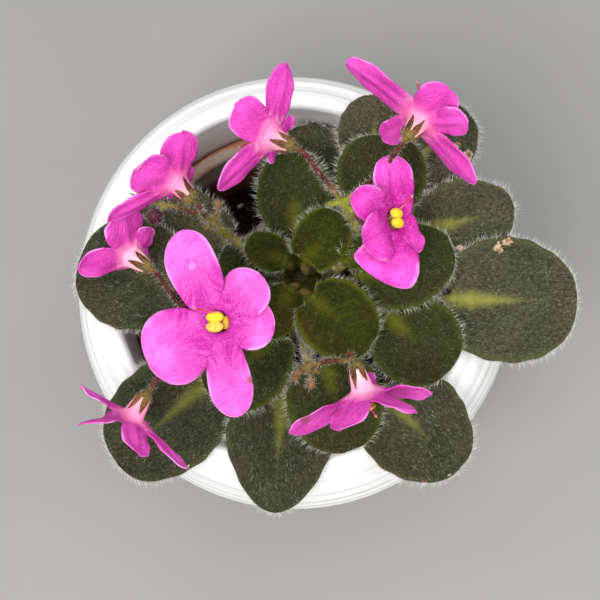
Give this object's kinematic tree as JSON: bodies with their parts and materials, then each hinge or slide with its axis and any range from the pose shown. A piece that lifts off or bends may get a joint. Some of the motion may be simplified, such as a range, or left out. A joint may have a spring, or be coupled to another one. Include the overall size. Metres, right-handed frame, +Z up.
{
  "type": "potted african violet",
  "caption": "African violet in flower: hairy-leaved rosette with magenta blooms on low stalks, in a clay pot inside a round white glazed pot.",
  "frame": {"origin": "centre of the outer pot's flat base", "axes": "+Z up along the outer pot's axis; +X towards the lone large leaf that reaches furthest over the rim; +Y across it"},
  "size_m": [0.1304, 0.1172, 0.1413],
  "materials": {
    "pot_glaze": "gloss white glaze",
    "clay": "matt fired clay with white mineral deposits",
    "soil": "matt, damp and crumbly",
    "stem": "matt, scarred",
    "leaf": "matt, covered in fine pale hairs",
    "stalk": "matt, hairy",
    "petal": "satin, finely grained",
    "anther": "matt, powdery",
    "pistil": "satin",
    "bud": "matt, hairy"
  },
  "bodies": {
    "root": {"outer_pot": "pot_glaze", "clay_pot": "clay", "potting_soil": "soil", "crown_stem": "stem", "leaf_outer_1": "leaf", "leaf_outer_2": "leaf", "leaf_outer_3": "leaf", "leaf_outer_4": "leaf", "leaf_outer_5": "leaf", "leaf_outer_6": "leaf", "leaf_outer_7": "leaf", "leaf_outer_8": "leaf", "leaf_outer_9": "leaf", "leaf_outer_10": "leaf", "leaf_middle_1": "leaf", "leaf_middle_2": "leaf", "leaf_middle_3": "leaf", "leaf_middle_4": "leaf", "leaf_middle_5": "leaf", "leaf_middle_6": "leaf", "leaf_middle_7": "leaf", "leaf_inner_1": "leaf", "leaf_inner_2": "leaf", "leaf_inner_3": "leaf", "leaf_inner_4": "leaf", "leaf_inner_5": "leaf", "flower_stalk_1": "stalk", "flower_stalk_2": "stalk", "flower_stalk_3": "stalk", "flower_stalk_4": "stalk", "flower_1_corolla": "petal", "flower_1_stamens": "anther", "flower_1_pistil": "pistil", "flower_2_corolla": "petal", "flower_2_stamens": "anther", "flower_2_pistil": "pistil", "flower_3_corolla": "petal", "flower_3_stamens": "anther", "flower_3_pistil": "pistil", "flower_4_corolla": "petal", "flower_4_stamens": "anther", "flower_4_pistil": "pistil", "flower_5_corolla": "petal", "flower_5_stamens": "anther", "flower_5_pistil": "pistil", "flower_6_corolla": "petal", "flower_6_stamens": "anther", "flower_6_pistil": "pistil", "flower_7_corolla": "petal", "flower_7_stamens": "anther", "flower_7_pistil": "pistil", "flower_8_corolla": "petal", "flower_8_stamens": "anther", "flower_8_pistil": "pistil", "closed_bud": "bud"}
  },
  "joints": []
}
